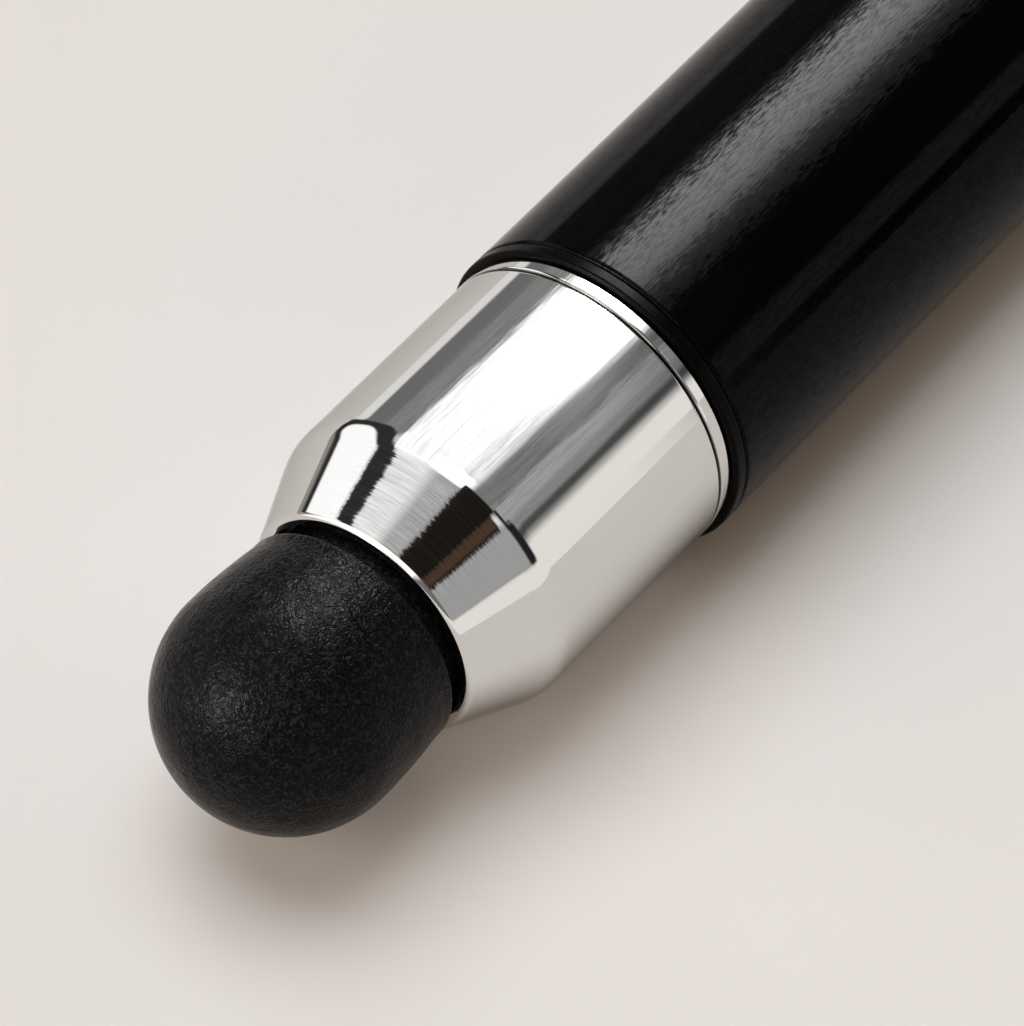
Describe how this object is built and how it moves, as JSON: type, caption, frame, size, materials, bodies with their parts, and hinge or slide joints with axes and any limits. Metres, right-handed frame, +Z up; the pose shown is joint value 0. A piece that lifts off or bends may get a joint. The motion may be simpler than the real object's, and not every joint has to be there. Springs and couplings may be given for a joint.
{
  "type": "stylus pen",
  "caption": "Slim gloss black twist-action ball pen with a bright metal ferrule and a soft rubber dome touch-screen tip on its other end, and a sprung pocket clip.",
  "frame": {"origin": "middle of the pen's box on the table that it lies on", "axes": "+X along the pen from the touch tip to the writing point, +Z up from the table; the pen's own axis lies at y = -0.876 mm, z = 5.0 mm, because the clip reaches out at +Y"},
  "size_m": [0.1398, 0.0118, 0.01],
  "materials": {
    "black_lacquer": "gloss",
    "bright_chrome": "polished",
    "soft_rubber": "matte, fine grain",
    "black_rubber": "satin",
    "dark_plastic": "matte",
    "yellow_brass": "turned",
    "bare_steel": "brushed",
    "blue_ink": "wet",
    "clear_grease": "translucent"
  },
  "bodies": {
    "upper": {"upper_barrel": "black_lacquer", "spacer_ring": "black_rubber", "top_bush": "yellow_brass", "clip_ring": "bright_chrome"},
    "clip": {"clip_arm": "bright_chrome"},
    "touch_tip": {"stylus_tip": "soft_rubber", "tip_post": "dark_plastic"},
    "ferrule": {"tip_ferrule": "bright_chrome"},
    "rotor": {"twist_rotor": "yellow_brass", "hub_o_ring": "black_rubber", "rotor_circlip": "bare_steel"},
    "lower": {"lower_barrel": "black_lacquer", "center_ring": "bright_chrome", "mech_sleeve": "yellow_brass", "nose_cone": "bright_chrome"},
    "refill": {"slider": "dark_plastic", "drive_pin": "bare_steel", "refill_tube": "bare_steel", "refill_point": "yellow_brass", "ink_column": "blue_ink", "ink_follower": "clear_grease"},
    "ball": {"point_ball": "bare_steel"}
  },
  "joints": [
    {"name": "halves_pull", "type": "slide", "parent": "upper", "child": "rotor", "axis": [1, 0, 0], "range_m": [0, 0.014]},
    {"name": "twist", "type": "hinge", "parent": "rotor", "child": "lower", "pos_m": [-0.01206, -0.00088, 0.005], "axis": [1, 0, 0], "range_deg": [0, 180]},
    {"name": "refill_slide", "type": "slide", "parent": "lower", "child": "refill", "axis": [1, 0, 0], "range_m": [0, 0.005]},
    {"name": "ball_roll", "type": "hinge", "parent": "refill", "child": "ball", "pos_m": [0.06799, -0.00088, 0.005], "axis": [0, 1, 0], "continuous": true},
    {"name": "clip_spring", "type": "hinge", "parent": "upper", "child": "clip", "pos_m": [-0.05128, 0.00488, 0.00128], "axis": [0, 0.5428, 0.8399], "range_deg": [0, 5], "stiffness_Nm_per_rad": 2.5},
    {"name": "tip_lift", "type": "slide", "parent": "upper", "child": "touch_tip", "axis": [-1, 0, 0], "range_m": [0, 0.005]},
    {"name": "ferrule_unscrew", "type": "hinge", "parent": "touch_tip", "child": "ferrule", "pos_m": [-0.06026, -0.00088, 0.005], "axis": [-1, 0, 0], "range_deg": [0, 1800]}
  ],
  "couplings": [
    {"joint": "twist", "follows": "refill_slide", "rad_per_m": 628.29},
    {"joint": "ferrule_unscrew", "follows": "tip_lift", "rad_per_m": 6282.9}
  ]
}
